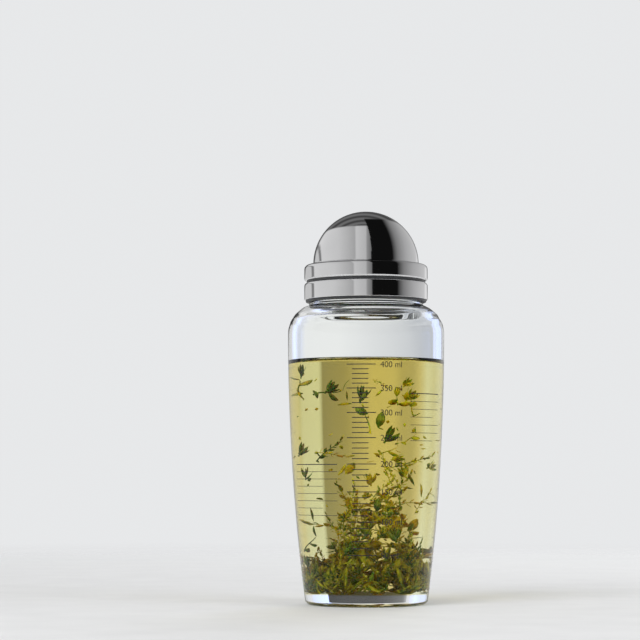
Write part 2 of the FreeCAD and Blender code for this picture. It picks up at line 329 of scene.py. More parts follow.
def clear_finish(name, colour=WHITE, shade=WHITE, **constants):
    """A clear finish that passes shadow rays, so that lamps light what is inside and behind it."""
    material, tree, shader = finish_named(name, Base_Color=(*colour, 1.0), Roughness=0.0,
                                          Transmission_Weight=1.0, **constants)
    see_through(tree, shader, add(tree, "ShaderNodeLightPath", output="Is Shadow Ray"), shade)
    return material, tree, shader


print("finish helpers ready")

# %% [markdown]
# ## Glass
# Pressed soda glass, a little over 4 mm thick, is clear with the faintest cold tint. The mould leaves slow
# waves all over it, which a low, wide bump gives. On a pale floor, full mirroring would lay a veil over the
# dressing, so Specular Tint takes most of it away.

# %% Glass
glass, tree, shader = clear_finish("clear_glass", (0.975, 0.99, 0.985), (0.90, 0.92, 0.915), IOR=1.5,
                                   Specular_Tint=(0.3, 0.3, 0.3, 1.0))
waves = object_noise(tree, 55.0, detail=1.0, stretch=(1.0, 1.0, 0.6))
plug(shader, Normal=bump(tree, waves, 0.12, 0.8 * MM))

# %% [markdown]
# ## The bottle
# The outline goes out under the foot, up the arched side, over the shoulder and neck, and back down inside.
# The CAD neck is plain and as wide as its thread. Here the neck is thinner and the thread stands on it: a
# ridge that climbs 4 mm in a turn and fades in and out. It is part of the turned mesh, because a separate
# ridge would leave a hidden wall in the glass. Noise moves the rings of the shoulder a little, like the long
# ripples of moulded glass. The line where the dressing touches the wall has a ring of its own.

# %% Bottle outline
BORE = NECK_RADIUS - NECK_WALL
INNER_RADIUS = BODY_RADIUS - BODY_WALL
FLOOR_RADIUS = BASE_RADIUS - FOOT_WALL
NECK_THREAD = 0.85 * MM
NECK_ROOT = NECK_RADIUS - NECK_THREAD
FOOT_ARC = upright_arc(KICK, STAND_RADIUS)
SIDE_ARC = upright_arc(BODY_RADIUS - BASE_RADIUS, BODY_HEIGHT)
SHOULDER_ARC = upright_arc(BODY_RADIUS - BEAD_RADIUS, SHOULDER_TOP - BODY_HEIGHT)
INNER_ARC = upright_arc(INNER_RADIUS - FLOOR_RADIUS, BODY_HEIGHT - FLOOR)
INNER_SHOULDER_ARC = upright_arc(INNER_RADIUS - BORE, THROAT - BODY_HEIGHT)
LEVEL = 125.0 * MM
MENISCUS = 2.0 * MM
CONTACT = LEVEL + MENISCUS


def side_at(height, widest, arc):
    """Radius of an arched side at a height."""
    return widest - arc + math.sqrt(arc ** 2 - (BODY_HEIGHT - height) ** 2)


CONTACT_RADIUS = side_at(CONTACT, INNER_RADIUS, INNER_ARC)
glass_outline = outline(
    (0.0, KICK), (STAND_RADIUS, 0.0, -FOOT_ARC, 10), (BASE_RADIUS, 0.0),
    (BODY_RADIUS, BODY_HEIGHT, SIDE_ARC, 56), (BEAD_RADIUS, SHOULDER_TOP, SHOULDER_ARC, 70),
    (BEAD_RADIUS, BEAD_TOP), (NECK_ROOT, BEAD_TOP), (NECK_ROOT, RIM, 0, 44), (BORE, RIM),
    (BORE, THROAT, 0, 6), (INNER_RADIUS, BODY_HEIGHT, -INNER_SHOULDER_ARC, 60),
    (CONTACT_RADIUS, CONTACT, -INNER_ARC, 6), (FLOOR_RADIUS, FLOOR, -INNER_ARC, 52), (0.0, FLOOR, 0, 4))
glass_outline = rounded(
    glass_outline, ((STAND_RADIUS, 0.0), 1.5 * MM), ((BASE_RADIUS, 0.0), 3.2 * MM),
    ((BEAD_RADIUS, SHOULDER_TOP), 0.5 * MM), ((BEAD_RADIUS, BEAD_TOP), 0.4 * MM),
    ((NECK_ROOT, BEAD_TOP), 0.4 * MM), ((NECK_ROOT, RIM), 1.2 * MM), ((BORE, RIM), 1.2 * MM),
    ((BORE, THROAT), 2.5 * MM), ((FLOOR_RADIUS, FLOOR), 6.0 * MM))
print("bottle outline has", len(glass_outline), "points")

# %% Neck thread and shoulder ripples
NECK_PITCH = 4.0 * MM
NECK_START = 158.6 * MM
NECK_TURNS = 1.5
RIDGE_HALF = 0.95 * MM
RIDGE_SLOPE = 0.7 * MM
FADE = math.radians(35)
RIPPLE = 0.35 * MM
RIPPLE_RISE, RIPPLE_END = 12.0 * MM, 1.5 * MM
RIPPLES_PER_METRE = 30.0
RIPPLE_STRETCH = 12.0


def smooth(share):
    share = min(max(share, 0.0), 1.0)
    return share * share * (3 - 2 * share)


def thread_height(height, angle):
    """Height of the neck's thread at a place: a rounded ridge that climbs one pitch in a turn."""
    lap = round((height - NECK_START) / NECK_PITCH - angle / (2 * math.pi))
    along = angle + 2 * math.pi * lap
    offset = abs(height - NECK_START - NECK_PITCH * along / (2 * math.pi))
    ends = smooth(along / FADE) * smooth((NECK_TURNS * 2 * math.pi - along) / FADE)
    return NECK_THREAD * ends * smooth((RIDGE_HALF - offset) / RIDGE_SLOPE)


def ripple_height(point, angle):
    """Height of the shoulder's ripples: long rings that wander, and fade out above and below."""
    share = smooth((point.y - BODY_HEIGHT) / RIPPLE_RISE) * smooth((SHOULDER_TOP - point.y) / RIPPLE_END)
    spot = Vector((point.x * math.cos(angle), point.x * math.sin(angle), point.y * RIPPLE_STRETCH))
    return RIPPLE * share * noise.noise(spot * RIPPLES_PER_METRE)


def neck_swell(point, angle):
    """Where a point of the outline goes at an angle: out by the thread, and out and up by the ripples."""
    on_neck = abs(point.x - NECK_ROOT) < TINY and point.y > BEAD_TOP
    thread = thread_height(point.y, angle) if on_neck else 0.0
    ripple = ripple_height(point, angle)
    return point.x + thread + ripple, point.y + ripple


bottle = place("bottle_glass", turned("bottle_glass", glass_outline, swell=neck_swell),
               glass, "bottle", node="glass_bottle")

# %% [markdown]
# ## Polished steel
# The collar's sleeve and the cap are drawn from sheet and polished until they mirror the room, so their look
# comes from what stands round them. What little texture there is comes from the polishing wheel: very fine
# rings round the axis, and faint clouds where the gloss differs.

# %% Polished steel
polished_steel, tree, shader = finish_named("polished_steel", Metallic=1.0)
clouds = object_noise(tree, 40.0, detail=4.0)
rings = object_noise(tree, 9.0, detail=2.0, stretch=(1.0, 1.0, 900.0))
plug(shader, Base_Color=ramp(tree, clouds, (0.3, (0.70, 0.70, 0.71)), (0.7, (0.76, 0.76, 0.765))),
     Roughness=spread(tree, rings, 0.035, 0.075))

# %% [markdown]
# ## Collar sleeve and cap
# Both are thin shells with bent edges. Bends are arcs with many steps, because a mirror shows every facet.
# The cap is one drawing: turned-in hem, band, round edge, narrow crown and dome.

# %% Collar sleeve
BAND_RADIUS = sleeve_high.x
COLLAR_TOP = sleeve_high.z
COLLAR_ROUND = 1.6 * MM
LEDGE_RADIUS = spigot_radius + 1.2 * MM
FIT = 0.05 * MM
FLANGE_RADIUS = LEDGE_RADIUS + FIT


def sleeve_outline():
    inner, flat = BAND_RADIUS - SHEET, BAND_RADIUS - COLLAR_ROUND
    bend, under = COLLAR_TOP - COLLAR_ROUND, COLLAR_TOP - SHEET
    points = outline(
        (inner, sleeve_low.z), (BAND_RADIUS, sleeve_low.z), (BAND_RADIUS, bend),
        (flat, COLLAR_TOP, COLLAR_ROUND, 14), (FLANGE_RADIUS, COLLAR_TOP), (FLANGE_RADIUS, under),
        (flat, under), (inner, bend, SHEET - COLLAR_ROUND, 10))
    return rounded(points, ((BAND_RADIUS, sleeve_low.z), 0.3 * MM))


place("collar_sleeve_steel", turned("collar_sleeve_steel", sleeve_outline(), closed=True),
      polished_steel, "collar", node="collar_sleeve")

# %% Domed cap
HEM = shell_low.z
APEX = shell_high.z
HEM_ROUND = 1.2 * MM
BAND_ROUND = 2.3 * MM
DOME_RADIUS = BAND_RADIUS - 4.7 * MM
CROWN_TOP = APEX - DOME_RADIUS
CROWN_EDGE = CROWN_TOP - 0.5 * MM


def cap_outline():
    inner, inner_dome = BAND_RADIUS - SHEET, DOME_RADIUS - SHEET
    crown, hem_radius = BAND_RADIUS - BAND_ROUND, BAND_RADIUS - HEM_ROUND
    band_edge, hem_edge = CROWN_EDGE - BAND_ROUND, HEM + HEM_ROUND
    points = outline(
        (hem_radius, HEM), (BAND_RADIUS, hem_edge, HEM_ROUND, 12), (BAND_RADIUS, band_edge),
        (crown, CROWN_EDGE, BAND_ROUND, 16), (DOME_RADIUS, CROWN_TOP), (0.0, APEX, DOME_RADIUS, 64),
        (0.0, APEX - SHEET), (inner_dome, CROWN_TOP, -inner_dome, 40), (inner_dome, CROWN_TOP - SHEET),
        (crown, CROWN_EDGE - SHEET), (inner, band_edge, SHEET - BAND_ROUND, 10), (inner, hem_edge),
        (hem_radius, HEM + SHEET, SHEET - HEM_ROUND, 8))
    return rounded(points, ((DOME_RADIUS, CROWN_TOP), 0.5 * MM))


place("cap_shell_steel", turned("cap_shell_steel", cap_outline(), closed=True),
      polished_steel, "cap", node="cap_shell")

# %% [markdown]
# ## Node trees for pieces that repeat or follow a path
# Threads, printed lines and herbs are made by Geometry Nodes: each tree has named inputs, and ends in Realize
# Instances and Set Material. A helper runs a tree on a mesh and keeps the result as a plain mesh, because the
# finished piece must not depend on a modifier.

# %% Node tree helpers
def new_tree(name, *floats, **inputs):
    """A geometry node tree with named inputs; returns the tree and its input sockets by name."""
    tree = bpy.data.node_groups.new(name, "GeometryNodeTree")
    kinds = {"Geometry": "Geometry", **dict.fromkeys(floats, "Float"), **inputs, "Material": "Material"}
    for label, kind in kinds.items():
        tree.interface.new_socket(label, in_out="INPUT", socket_type=f"NodeSocket{kind}")
    tree.interface.new_socket("Geometry", in_out="OUTPUT", socket_type="NodeSocketGeometry")
    print("tree", name, "takes", *kinds)
    return tree, add(tree, "NodeGroupInput").node.outputs


def end_tree(tree, given, *parts):
    """Join the parts, and close a tree with Realize Instances and Set Material."""
    whole = add(tree, "GeometryNodeJoinGeometry")
    for part in parts:
        plug(whole.node, Geometry=part)
    real = add(tree, "GeometryNodeRealizeInstances", {"Geometry": whole})
    painted = add(tree, "GeometryNodeSetMaterial", {"Geometry": real, "Material": given["Material"]})
    add(tree, "NodeGroupOutput", {"Geometry": painted})
    return tree


def frozen(thing):
    """The final mesh of an object, which is then removed."""
    bpy.context.view_layer.update()
    mesh = bpy.data.meshes.new_from_object(thing.evaluated_get(bpy.context.evaluated_depsgraph_get()))
    bpy.data.objects.remove(thing)
    return mesh


def run_tree(tree, mesh, **values):
    """Run a tree on a mesh and return the result as a plain mesh."""
    host = linked("host", mesh)
    modifier = host.modifiers.new("tree", "NODES")
    modifier.node_group = tree
    for item in tree.interface.items_tree:
        if item.in_out == "INPUT" and item.name in values:
            modifier[item.identifier] = values[item.name]
    result = frozen(host)
    result.name = mesh.name
    return result


def maths(tree, operation, *numbers):
    """One step of arithmetic in a node tree."""
    return add(tree, "ShaderNodeMath", dict(enumerate(numbers)), operation=operation)


def product(tree, number, *factors):
    for factor in factors:
        number = maths(tree, "MULTIPLY", number, factor)
    return number


def less(tree, number, taken):
    return maths(tree, "SUBTRACT", number, taken)


def vector(tree, **parts):
    return add(tree, "ShaderNodeCombineXYZ", parts)


def said(tree, name, kind):
    """What the points say under a name."""
    return add(tree, "GeometryNodeInputNamedAttribute", {"Name": name}, "Attribute", data_type=kind)


print("tree helpers ready")

# %% [markdown]
# ## Dark plastic
# The collar and the cap hide moulded polypropylene cores, with a fine matt grain from the mould and a soft,
# wide highlight. A small grain bump and a slight change of gloss are enough.

# %% Dark plastic
dark_plastic, tree, shader = finish_named("dark_plastic")
patches = object_noise(tree, 120.0)
tint = ramp(tree, patches, (0.35, (0.034, 0.036, 0.039)), (0.7, (0.050, 0.052, 0.055)))
plug(shader, Base_Color=tint, Roughness=spread(tree, patches, 0.36, 0.5),
     Normal=bump(tree, object_noise(tree, 2600.0, detail=2.0), 0.25, 0.05 * MM))

# %% [markdown]
# ## Screw threads of the plastic cores
# A thread is one ridge wound round a wall. The tree winds a spiral, keeps its section upright and sweeps a
# trapezium along it. The ridge is sunk a little into its wall and runs out to nothing at both ends, as a
# moulded thread does. A ridge inside a ring points inwards, which is only another sign of its depth.

# %% Thread tree
RIDGE_TOP_SHARE = 0.45
RUN_OUT = 14.0


def make_thread_tree():
    tree, given = new_tree("screw_thread", "Radius", "Depth", "Width", "Pitch", "Turns", "Start", "Angle")
    spiral = add(tree, "GeometryNodeCurveSpiral", {
        "Resolution": 72, "Rotations": given["Turns"], "Start Radius": given["Radius"],
        "End Radius": given["Radius"], "Height": product(tree, given["Pitch"], given["Turns"])})
    wound = add(tree, "GeometryNodeTransform", {
        "Geometry": spiral, "Translation": vector(tree, Z=given["Start"]),
        "Rotation": vector(tree, Z=given["Angle"])})
    upright = add(tree, "GeometryNodeSetCurveNormal", {"Curve": wound}, mode="Z_UP")
    share = add(tree, "GeometryNodeSplineParameter", output="Factor")
    nearest_end = maths(tree, "MINIMUM", share, less(tree, 1.0, share))
    section = add(tree, "GeometryNodeCurvePrimitiveQuadrilateral", {
        "Height": given["Depth"], "Bottom Width": given["Width"], "Offset": 0.0,
        "Top Width": product(tree, given["Width"], RIDGE_TOP_SHARE)}, mode="TRAPEZOID")
    on_side = add(tree, "GeometryNodeTransform", {"Geometry": section, "Rotation": (0.0, 0.0, math.pi / 2)})
    ridge = add(tree, "GeometryNodeCurveToMesh", {
        "Curve": upright, "Profile Curve": on_side, "Fill Caps": True,
        "Scale": maths(tree, "MINIMUM", product(tree, nearest_end, RUN_OUT), 1.0)})
    return end_tree(tree, given, given["Geometry"], ridge)


thread_tree = make_thread_tree()

# %% [markdown]
# ## Plastic cores of collar and cap
# The collar's core has a skirt with an inner thread for the neck, a ring that presses on the strainer, and a
# spigot with a rounded pouring lip and an outer thread for the cap. The cap's core is a ring with an inner
# thread. At rest each inner ridge lies half a pitch above the outer ridge that it runs on.

# %% Collar core
SKIRT_RADIUS = insert_high.x
SKIRT_BOTTOM = insert_low.z
LIP = insert_high.z
SPIGOT_THREAD = 0.85 * MM
SPIGOT_WALL = 2.5 * MM
POUR_EDGE = 1.4 * MM
CEILING_TOP = strainer_top + 1.6 * MM
POCKET_RADIUS = NECK_RADIUS - 1.1 * MM
POCKET_BOTTOM = RIM + 0.3 * MM


def collar_core_outline():
    bore, spout = NECK_RADIUS + THREAD_GAP, spigot_radius - SPIGOT_WALL
    root, pour, under = spigot_radius - SPIGOT_THREAD, spout - POUR_EDGE, COLLAR_TOP - SHEET - FIT
    points = outline(
        (bore, SKIRT_BOTTOM), (SKIRT_RADIUS, SKIRT_BOTTOM), (SKIRT_RADIUS, COLLAR_TOP - COLLAR_ROUND),
        (SKIRT_RADIUS - COLLAR_ROUND + SHEET, under), (LEDGE_RADIUS, under), (LEDGE_RADIUS, COLLAR_TOP),
        (root, COLLAR_TOP), (root, LIP), (spout, LIP), (spout, CEILING_TOP), (pour, CEILING_TOP),
        (pour, strainer_top), (POCKET_RADIUS, strainer_top), (POCKET_RADIUS, POCKET_BOTTOM),
        (bore, POCKET_BOTTOM))
    return rounded(points, ((SKIRT_RADIUS, SKIRT_BOTTOM), 0.3 * MM), ((root, LIP), 0.7 * MM),
                   ((spout, LIP), 0.7 * MM), ((spout, CEILING_TOP), 0.6 * MM), ((root, COLLAR_TOP), 0.3 * MM))


print("collar core outline has", len(collar_core_outline()), "points")

# %% Collar core with its threads
SPIGOT_PITCH = 3.5 * MM
SPIGOT_START = 168.9 * MM
SPIGOT_TURNS = 1.2
RIDGE_WIDTH = 1.5 * MM
INNER_RIDGE, INNER_INSET = 1.0 * MM, 0.2 * MM
OUTER_RIDGE, OUTER_INSET = 0.9 * MM, 0.45 * MM


def threaded(mesh, radius, depth, pitch, turns, start, angle):
    """The mesh with one ridge on it; a negative depth points inwards."""
    return run_tree(thread_tree, mesh, Radius=radius, Depth=depth, Width=RIDGE_WIDTH, Pitch=pitch,
                    Turns=turns, Start=start, Angle=angle, Material=dark_plastic)


core = turned("collar_core", collar_core_outline(), closed=True)
core = threaded(core, NECK_RADIUS - INNER_INSET, -INNER_RIDGE, NECK_PITCH, turns=1.4,
                start=NECK_START - 0.2 * MM, angle=0.9 * math.pi)
core = threaded(core, spigot_radius - OUTER_INSET, OUTER_RIDGE, SPIGOT_PITCH, SPIGOT_TURNS,
                start=SPIGOT_START, angle=0.0)
place("collar_core", core, dark_plastic, "collar", node="collar_insert")

# %% Cap core
def cap_core_outline():
    bore, foot = spigot_radius + THREAD_GAP, BAND_RADIUS - HEM_ROUND - FIT
    step, top, edge = HEM + HEM_ROUND + FIT, ring_high.z, CROWN_EDGE - BAND_ROUND
    points = outline(
        (bore, ring_low.z), (foot, ring_low.z), (foot, step), (SKIRT_RADIUS, step), (SKIRT_RADIUS, edge),
        (SKIRT_RADIUS - (top - edge), top), (bore, top))
    return rounded(points, ((foot, ring_low.z), 0.25 * MM))


ring = turned("cap_core", cap_core_outline(), closed=True)
ring = threaded(ring, spigot_radius - INNER_INSET, -INNER_RIDGE, SPIGOT_PITCH, SPIGOT_TURNS,
                start=SPIGOT_START, angle=math.pi)
place("cap_core", ring, dark_plastic, "cap", node="cap_insert")

# %% [markdown]
# ## Strainer, gaskets and liner
# These CAD nodes already have the right shape, so they stay and only get finishes: satin steel for the
# perforated dish, milky silicone for the two gaskets, and natural polypropylene for the disc under the dome.

# %% Inner finishes
satin_steel, tree, shader = finish_named("satin_steel", Metallic=1.0)
brush = object_noise(tree, 300.0, detail=4.0, stretch=(14.0, 1.0, 1.0))
plug(shader, Base_Color=ramp(tree, brush, (0.3, (0.52, 0.52, 0.53)), (0.7, (0.63, 0.63, 0.64))),
     Roughness=spread(tree, brush, 0.22, 0.38), Normal=bump(tree, brush, 0.1, 0.02 * MM))


def soft_plastic(name, low, high, roughness, subsurface):
    material, tree, shader = finish_named(name, Roughness=roughness, Subsurface_Weight=subsurface,
                                          Subsurface_Scale=1.0 * MM)
    plug(shader, Base_Color=ramp(tree, object_noise(tree, 140.0), (0.3, low), (0.7, high)),
         Normal=bump(tree, object_noise(tree, 1800.0), 0.15, 0.04 * MM))
    return material


silicone = soft_plastic("milky_silicone", (0.70, 0.71, 0.70), (0.77, 0.78, 0.77), 0.42, 0.3)
liner_plastic = soft_plastic("liner_plastic", (0.77, 0.77, 0.75), (0.82, 0.82, 0.80), 0.35, 0.2)
inner_finishes = dict(strainer=satin_steel, rim_gasket=silicone, cap_gasket=silicone, cap_liner=liner_plastic)
for node, material in inner_finishes.items():
    slots = frame["nodes"][node].data.materials
    slots.clear()
    slots.append(material)
    print(node, "gets", material.name)

# %% [markdown]
# ## Dressing
# The bottle is filled to a little over its highest mark with oil and vinegar. The colour lies in the depth,
# not on the surface, so it comes from a Volume Absorption that takes out most of the blue and some of the red
# and green. Oil bends light almost as glass does, so where the two touch there is nothing to see: on the
# wetted glass and on the sides of the dressing the IOR is 1, and neither mirrors. Only the free surface on
# top, which climbs the glass in a small meniscus, bends light as oil does.

# %% Dressing finishes
OIL_IOR = 1.47

dressing_finish, tree, shader = clear_finish("dressing")
plug(shader, IOR=add(tree, "ShaderNodeAttribute", output="Fac", attribute_name="bend"))
depth = add(tree, "ShaderNodeVolumeAbsorption", {"Color": (0.83, 0.737, 0.14, 1.0), "Density": 34.0})
plug(tree.nodes["Material Output"], Volume=depth)
wetted_glass = clear_finish("wetted_glass", IOR=1.0)[0]

# %% Dressing
WALL_GAP = 0.02 * MM
MENISCUS_REACH = 1.5 * MM
MENISCUS_WIDTH = 8.0 * MM
MENISCUS_STEPS = 16
MENISCUS_SPACING = 1.6
DRESSING_SEGMENTS = 128


def bore_at(height):
    """Inner radius of the bottle at a height, from its outline."""
    for low, high in zip(bottle_bore, bottle_bore[1:]):
        if low.y <= height <= high.y:
            share = (height - low.y) / max(high.y - low.y, 1e-9)
            return low.x + (high.x - low.x) * share
    return BORE


def dressing_wall():
    inside = [Vector((point.x - WALL_GAP, point.y + WALL_GAP)) for point in bottle_bore
              if 0.0 < point.x and point.y < CONTACT - 0.1 * MM]
    return [Vector((0.0, FLOOR + WALL_GAP)), *inside, Vector((CONTACT_RADIUS - WALL_GAP, CONTACT))]


def dressing_surface():
    points = []
    for step in range(1, MENISCUS_STEPS + 1):
        inset = MENISCUS_WIDTH * (step / MENISCUS_STEPS) ** MENISCUS_SPACING
        climb = MENISCUS * math.exp(-inset / MENISCUS_REACH)
        points.append(Vector((CONTACT_RADIUS - WALL_GAP - inset, LEVEL + climb)))
    return points[:-1] + outline(points[-1], (0.0, LEVEL, 0, 4))


places = range(len(glass_outline))
floor_at = min(places, key=lambda index: (glass_outline[index] - Vector((0.0, FLOOR))).length)
rim_at = max(index for index in places if glass_outline[index].y > RIM - TINY)
bottle_bore = glass_outline[floor_at:rim_at - 1:-1]
wall_points = dressing_wall()
dressing_mesh = turned("dressing", wall_points + dressing_surface(), segments=DRESSING_SEGMENTS)
wall_faces = (len(wall_points) - 1) * DRESSING_SEGMENTS
for index, item in enumerate(dressing_mesh.attributes.new("bend", "FLOAT", "FACE").data):
    item.value = 1.0 if index < wall_faces else OIL_IOR
place("dressing", dressing_mesh, dressing_finish, "bottle")
print("level", round(LEVEL / MM, 1), "mm, bore there", round(bore_at(LEVEL) / MM, 2), "mm")

# %% Wetted glass
WALL_REACH, FLOOR_REACH = 1.0 * MM, 0.2 * MM


def is_wetted(face):
    x, y, height = face.center
    in_reach = math.hypot(x, y) < bore_at(max(height, FLOOR)) + WALL_REACH
    return in_reach and FLOOR - FLOOR_REACH < height < CONTACT


bottle.data.materials.append(wetted_glass)
wetted = [face for face in bottle.data.polygons if is_wetted(face)]
for face in wetted:
    face.material_index = 1
print(len(wetted), "faces of the glass are wetted")

# %% [markdown]
# ## Herbs
# Fresh herbs float in the dressing and settle in a heap on the floor. A sprig is a rule: a bent stem, and
# leaves that leave it at the golden angle and shrink towards its tip. So one tree makes every kind, from a
# thyme twig to a single leaf, and a second one scatters the kinds on points that say where, how large, which
# kind and how turned each one is. A leaf is a squeezed sphere with pointed ends, closed all round, of few
# faces. Herbs that have soaked for long are olive. Their colour is darker low in the heap, a painted shade,
# and paler higher up, where they drift, a painted light.

# %% Herb finishes
HEAP_SHADE, FULL_LIGHT = 20 * MM, 70 * MM


def herb_finish(name, *stops, painted_shade_tone=1.0, painted_light_tone=1.0):
    """Patches of colour, times a tone that runs from painted shade in the heap to painted light above it."""
    material, tree, shader = finish_named(name, Roughness=0.5, Subsurface_Weight=0.3,
                                          Subsurface_Scale=1.5 * MM, Specular_IOR_Level=0.1)
    colour = ramp(tree, object_noise(tree, 150.0, detail=2.0), *stops)
    height = add(tree, "ShaderNodeSeparateXYZ", {"Vector": object_place(tree)}, "Z")
    # painted light and shade: the colour is scaled by height alone, darker low in the heap and paler higher
    # up
    tone = spread(tree, height, painted_shade_tone, painted_light_tone, HEAP_SHADE, FULL_LIGHT)
    painted_light_and_shade = add(tree, "ShaderNodeVectorMath", {0: colour, "Scale": tone}, operation="SCALE")
    plug(shader, Base_Color=painted_light_and_shade, Normal=bump(tree, object_noise(tree, 900.0), 0.4, 0.15 * MM))
    return material


fresh_green = herb_finish("fresh_green", (0.30, (0.020, 0.065, 0.003)), (0.50, (0.055, 0.130, 0.005)),
                          (0.70, (0.120, 0.180, 0.008)))
# the olive herbs get painted shade in the heap and painted light above it
olive_green = herb_finish("olive_green", (0.30, (0.030, 0.085, 0.002)), (0.44, (0.11, 0.18, 0.004)),
                          (0.56, (0.44, 0.39, 0.010)), (0.66, (0.17, 0.19, 0.006)),
                          (0.76, (0.26, 0.16, 0.010)), painted_shade_tone=0.9, painted_light_tone=1.5)

# %% Sprig tree
GOLDEN_ANGLE = math.radians(137.5)
LEAF_HALF = 0.16 * MM
LEAF_CURL = 0.10
LEAF_POINT = 0.4
LEAF_SHRINK = 0.4
FIRST_LEAN = 1.15
STEM_TAPER = 0.6
LOW_HANDLE, HIGH_HANDLE = 0.4, 0.75


def leaf_shape(tree, length, width):
    """A pointed, slightly curled leaf that grows from the origin along Z."""
    ball = add(tree, "GeometryNodeMeshUVSphere", {"Segments": 4, "Rings": 6, "Radius": 1.0})
    spot = add(tree, "GeometryNodeInputPosition")
    where = add(tree, "ShaderNodeSeparateXYZ", {"Vector": spot}).node.outputs
    squared = product(tree, where["Z"], where["Z"])
    slim = maths(tree, "POWER", maths(tree, "MAXIMUM", less(tree, 1.0, squared), 0.0), LEAF_POINT)
    curl = product(tree, squared, length, LEAF_CURL)
    leaf = vector(tree, X=product(tree, where["X"], slim, width, 0.5),
                  Y=maths(tree, "ADD", product(tree, where["Y"], LEAF_HALF), curl),
                  Z=product(tree, maths(tree, "ADD", where["Z"], 1.0), length, 0.5))
    return add(tree, "GeometryNodeSetPosition", {"Geometry": ball, "Position": leaf})


def make_sprig_tree():
    tree, given = new_tree("sprig", "Length", "Bend", "Leaf_Length", "Leaf_Width", "Tilt", "Stem",
                           Leaves="Int")
    stalk = add(tree, "GeometryNodeCurvePrimitiveBezierSegment", {
        "Resolution": 8, "Start": (0.0, 0.0, 0.0),
        "Start Handle": vector(tree, Z=product(tree, given["Length"], LOW_HANDLE)),
        "End Handle": vector(tree, X=given["Bend"], Z=product(tree, given["Length"], HIGH_HANDLE)),
        "End": vector(tree, X=given["Bend"], Z=given["Length"])})
    share = add(tree, "GeometryNodeSplineParameter", output="Factor")
    section = add(tree, "GeometryNodeCurvePrimitiveCircle", {"Resolution": 5, "Radius": given["Stem"]})
    stem = add(tree, "GeometryNodeCurveToMesh", {
        "Curve": stalk, "Profile Curve": section, "Fill Caps": True,
        "Scale": less(tree, 1.0, product(tree, share, STEM_TAPER))})
    joints = add(tree, "GeometryNodeCurveToPoints", {"Curve": stalk, "Count": given["Leaves"]}).node.outputs
    index = add(tree, "GeometryNodeInputIndex")
    rise = maths(tree, "DIVIDE", index, given["Leaves"])
    lean = product(tree, given["Tilt"], less(tree, FIRST_LEAN, rise))
    turn = vector(tree, X=lean, Z=product(tree, index, GOLDEN_ANGLE))
    turned_by = add(tree, "FunctionNodeEulerToRotation", {"Euler": turn})
    aimed = add(tree, "FunctionNodeRotateRotation", {
        "Rotation": joints["Rotation"], "Rotate By": turned_by}, rotation_space="LOCAL")
    leaves = add(tree, "GeometryNodeInstanceOnPoints", {
        "Points": joints["Points"], "Instance": leaf_shape(tree, given["Leaf_Length"], given["Leaf_Width"]),
        "Rotation": aimed, "Scale": less(tree, 1.0, product(tree, rise, LEAF_SHRINK))})
    return end_tree(tree, given, stem, leaves)


sprig_tree = make_sprig_tree()

# %% Kinds of herb
# name: length, bend, leaf length, leaf width (mm), leaves, tilt (degrees), stem radius (mm)
HERB_KINDS = {
    "thyme_twig": (17.0, 5.0, 3.8, 1.9, 14, 62, 0.30),
    "leaf_crown": (2.2, 0.6, 7.0, 2.4, 6, 44, 0.45),
    "oval_pair": (10.0, 4.0, 8.0, 4.2, 3, 70, 0.40),
    "oval_leaf": (2.5, 0.4, 9.0, 4.8, 1, 15, 0.30),
    "narrow_leaf": (1.5, 0.2, 8.0, 1.8, 1, 15, 0.25),
    "bare_twig": (17.0, 5.5, 5.0, 2.2, 2, 60, 0.55),
    "crumb": (0.6, 0.1, 2.2, 1.5, 1, 30, 0.20),
}
kind_number = {name: number for number, name in enumerate(HERB_KINDS)}
herb_kinds = bpy.data.collections.new("herb_kinds")
for name, (length, bend, leaf_length, leaf_width, leaves, tilt, stem) in HERB_KINDS.items():
    mesh = run_tree(sprig_tree, bpy.data.meshes.new(name), Length=length * MM, Bend=bend * MM, Leaves=leaves,
                    Leaf_Length=leaf_length * MM, Leaf_Width=leaf_width * MM, Tilt=math.radians(tilt),
                    Stem=stem * MM, Material=olive_green)
    herb_kinds.objects.link(bpy.data.objects.new(f"herb_{kind_number[name]}", mesh))
    print(name, "has", len(mesh.polygons), "faces")

# %% Scatter tree
def make_scatter_tree():
    tree, given = new_tree("scatter_herbs", Kinds="Collection")
    kinds = add(tree, "GeometryNodeCollectionInfo", {
        "Collection": given["Kinds"], "Separate Children": True, "Reset Children": True})
    turn = add(tree, "FunctionNodeEulerToRotation", {"Euler": said(tree, "turn", "FLOAT_VECTOR")})
    herbs = add(tree, "GeometryNodeInstanceOnPoints", {
        "Points": given["Geometry"], "Instance": kinds, "Pick Instance": True, "Rotation": turn,
        "Instance Index": said(tree, "kind", "INT"), "Scale": said(tree, "size", "FLOAT")})
    return end_tree(tree, given, herbs)


def points_with(name, rows, **kinds):
    """A mesh of loose points with named attributes; a row is a place followed by the attributes' values."""
    mesh = mesh_of(name, [row[0] for row in rows])
    for column, (label, kind) in enumerate(kinds.items(), start=1):
        data = mesh.attributes.new(label, kind, "POINT").data
        for item, row in zip(data, rows):
            setattr(item, "vector" if kind == "FLOAT_VECTOR" else "value", row[column])
    return mesh


scatter_tree = make_scatter_tree()
